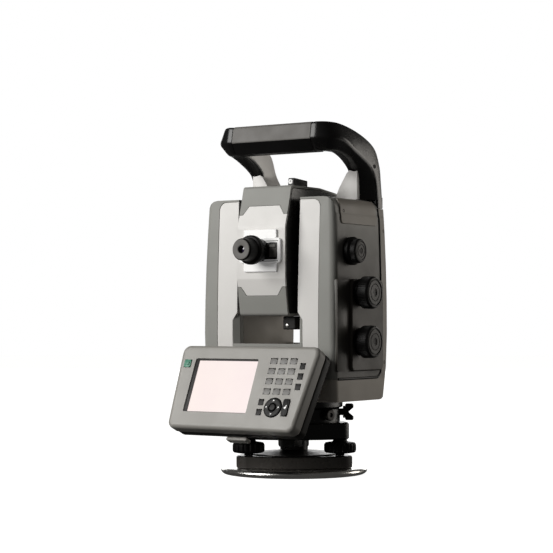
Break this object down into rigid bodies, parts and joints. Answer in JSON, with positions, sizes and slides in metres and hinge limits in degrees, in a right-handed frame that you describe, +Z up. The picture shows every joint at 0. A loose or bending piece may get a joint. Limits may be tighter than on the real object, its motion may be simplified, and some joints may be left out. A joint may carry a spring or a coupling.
{
  "type": "surveying total station",
  "caption": "Motorised surveying total station with a yoke, tilting telescope, carry handle, tilted touch-screen control unit, tribrach and tripod head plate.",
  "frame": {"origin": "on the standing axis, at the underside of the tripod head plate", "axes": "+Z up along the standing axis, -Y towards the eyepiece and the control unit, +X towards the side with the three drive knobs"},
  "size_m": [0.2105, 0.2156, 0.3987],
  "materials": {
    "anodised_plate": "polished, turned",
    "black_paint": "fine textured enamel",
    "dark_metal": "black anodised",
    "bright_steel": "ground",
    "brown_grey_paint": "fine textured enamel",
    "medium_grey_paint": "fine textured enamel",
    "light_grey_paint": "fine textured enamel",
    "casing_plastic": "moulded, fine texture",
    "black_rubber": "matt",
    "grip_rubber": "matt, soft touch",
    "key_rubber": "matt",
    "green_key": "matt",
    "white_plate": "satin",
    "coated_glass": "polished, coated",
    "display_glass": "anti-glare",
    "dark_plastic": "fine texture"
  },
  "bodies": {
    "base": {"head_plate": "anodised_plate", "fixing_screw": "bright_steel", "tribrach_base_plate": "black_paint", "tribrach_spring_plate": "dark_metal", "tribrach_body": "black_paint", "circular_level": "coated_glass", "instrument_foot": "black_paint", "power_connector": "bright_steel"},
    "alidade": {"azimuth_bearing": "bright_steel", "yoke_base": "brown_grey_paint", "standard_right": "brown_grey_paint", "standard_left": "brown_grey_paint", "trunnion_bearing_right": "bright_steel", "trunnion_bearing_left": "bright_steel", "front_panel_right": "light_grey_paint", "front_panel_left": "light_grey_paint", "saddle_trim": "medium_grey_paint", "side_cover_right": "medium_grey_paint", "side_cover_left": "medium_grey_paint", "top_cap_right": "brown_grey_paint", "top_cap_left": "brown_grey_paint", "battery": "dark_plastic", "knob_panel": "brown_grey_paint", "rear_display_frame": "dark_plastic", "handle_frame": "black_paint", "handle_grip": "grip_rubber", "handle_foot_right": "light_grey_paint", "handle_foot_left": "light_grey_paint", "unit_front_case": "casing_plastic", "unit_rear_case": "dark_plastic", "unit_display": "display_glass", "unit_holder": "dark_plastic"},
    "telescope": {"telescope_housing": "black_paint", "telescope_top_cover": "medium_grey_paint", "telescope_bottom_cover": "medium_grey_paint", "telescope_front_cover": "light_grey_paint", "telescope_rear_cover": "light_grey_paint", "eyepiece_plate": "white_plate", "objective_lens": "coated_glass", "collimator_sight": "dark_plastic", "lower_bracket": "dark_plastic"},
    "footscrew_1": {"footscrew_1": "black_rubber"},
    "footscrew_2": {"footscrew_2": "black_rubber"},
    "footscrew_3": {"footscrew_3": "black_rubber"},
    "clamp_knob": {"clamp_knob": "black_rubber"},
    "plummet_eyepiece": {"plummet_eyepiece": "dark_metal"},
    "battery_door": {"battery_door": "medium_grey_paint"},
    "battery_latch": {"battery_latch": "dark_plastic"},
    "vertical_tangent_knob": {"vertical_tangent_knob": "black_rubber"},
    "horizontal_tangent_knob": {"horizontal_tangent_knob": "black_rubber"},
    "focus_knob": {"focus_knob": "black_rubber"},
    "eyepiece_ring": {"eyepiece_ring": "black_rubber"},
    "rear_key": {"rear_key": "black_rubber"},
    "number_keypad": {"number_keypad": "key_rubber"},
    "side_keys": {"side_keys": "black_rubber"},
    "lower_keys": {"lower_keys": "black_rubber"},
    "enter_key": {"enter_key": "black_rubber"},
    "power_key": {"power_key": "green_key"},
    "direction_pad": {"direction_pad": "black_rubber"},
    "release_latch": {"release_latch": "casing_plastic"}
  },
  "joints": [
    {"name": "azimuth", "type": "hinge", "parent": "base", "child": "alidade", "pos_m": [0, 0, 0.0925], "axis": [0, 0, 1], "continuous": true},
    {"name": "elevation", "type": "hinge", "parent": "alidade", "child": "telescope", "pos_m": [0, 0, 0.2544], "axis": [1, 0, 0], "continuous": true},
    {"name": "footscrew_1_turn", "type": "hinge", "parent": "base", "child": "footscrew_1", "pos_m": [0.05989, 0.00366, 0.0315], "axis": [0, 0, 1], "continuous": true},
    {"name": "footscrew_2_turn", "type": "hinge", "parent": "base", "child": "footscrew_2", "pos_m": [-0.03312, 0.05003, 0.0315], "axis": [0, 0, 1], "continuous": true},
    {"name": "footscrew_3_turn", "type": "hinge", "parent": "base", "child": "footscrew_3", "pos_m": [-0.02677, -0.0537, 0.0315], "axis": [0, 0, 1], "continuous": true},
    {"name": "clamp_knob_turn", "type": "hinge", "parent": "base", "child": "clamp_knob", "pos_m": [0.05312, 0.03516, 0.0705], "axis": [0.8339, 0.5519, 0], "range_deg": [0, 180]},
    {"name": "plummet_focus", "type": "hinge", "parent": "base", "child": "plummet_eyepiece", "pos_m": [0.05543, -0.01331, 0.069], "axis": [0.9724, -0.2334, 0], "range_deg": [-160, 160]},
    {"name": "battery_door_hinge", "type": "hinge", "parent": "alidade", "child": "battery_door", "pos_m": [-0.0893, 0.001, 0.1243], "axis": [0, -1, 0], "range_deg": [0, 90]},
    {"name": "battery_latch_turn", "type": "hinge", "parent": "battery_door", "child": "battery_latch", "pos_m": [-0.088, 0.001, 0.212], "axis": [-1, 0, 0], "range_deg": [0, 90]},
    {"name": "vertical_tangent", "type": "hinge", "parent": "alidade", "child": "vertical_tangent_knob", "pos_m": [0.105, -0.011, 0.207], "axis": [1, 0, 0], "continuous": true},
    {"name": "horizontal_tangent", "type": "hinge", "parent": "alidade", "child": "horizontal_tangent_knob", "pos_m": [0.105, -0.011, 0.152], "axis": [1, 0, 0], "continuous": true},
    {"name": "focus", "type": "hinge", "parent": "alidade", "child": "focus_knob", "pos_m": [0.096, -0.023, 0.2534], "axis": [1, 0, 0], "continuous": true},
    {"name": "eyepiece_turn", "type": "hinge", "parent": "telescope", "child": "eyepiece_ring", "pos_m": [0, -0.094, 0.2544], "axis": [0, -1, 0], "range_deg": [-150, 150]},
    {"name": "number_keypad_press", "type": "slide", "parent": "alidade", "child": "number_keypad", "axis": [0, 0.9135, -0.4067], "range_m": [0, 0.0012], "stiffness_N_per_m": 600},
    {"name": "side_keys_press", "type": "slide", "parent": "alidade", "child": "side_keys", "axis": [0, 0.9135, -0.4067], "range_m": [0, 0.0012], "stiffness_N_per_m": 600},
    {"name": "lower_keys_press", "type": "slide", "parent": "alidade", "child": "lower_keys", "axis": [0, 0.9135, -0.4067], "range_m": [0, 0.0012], "stiffness_N_per_m": 600},
    {"name": "enter_key_press", "type": "slide", "parent": "alidade", "child": "enter_key", "axis": [0, 0.9135, -0.4067], "range_m": [0, 0.0012], "stiffness_N_per_m": 600},
    {"name": "power_key_press", "type": "slide", "parent": "alidade", "child": "power_key", "axis": [0, 0.9135, -0.4067], "range_m": [0, 0.0008], "stiffness_N_per_m": 600},
    {"name": "direction_pad_press", "type": "slide", "parent": "alidade", "child": "direction_pad", "axis": [0, 0.9135, -0.4067], "range_m": [0, 0.0012], "stiffness_N_per_m": 600},
    {"name": "rear_key_press", "type": "slide", "parent": "alidade", "child": "rear_key", "axis": [0, -1, 0], "range_m": [0, 0.001], "stiffness_N_per_m": 600},
    {"name": "release_latch_push", "type": "slide", "parent": "alidade", "child": "release_latch", "axis": [0, 0.9135, -0.4067], "range_m": [0, 0.003], "stiffness_N_per_m": 600}
  ]
}
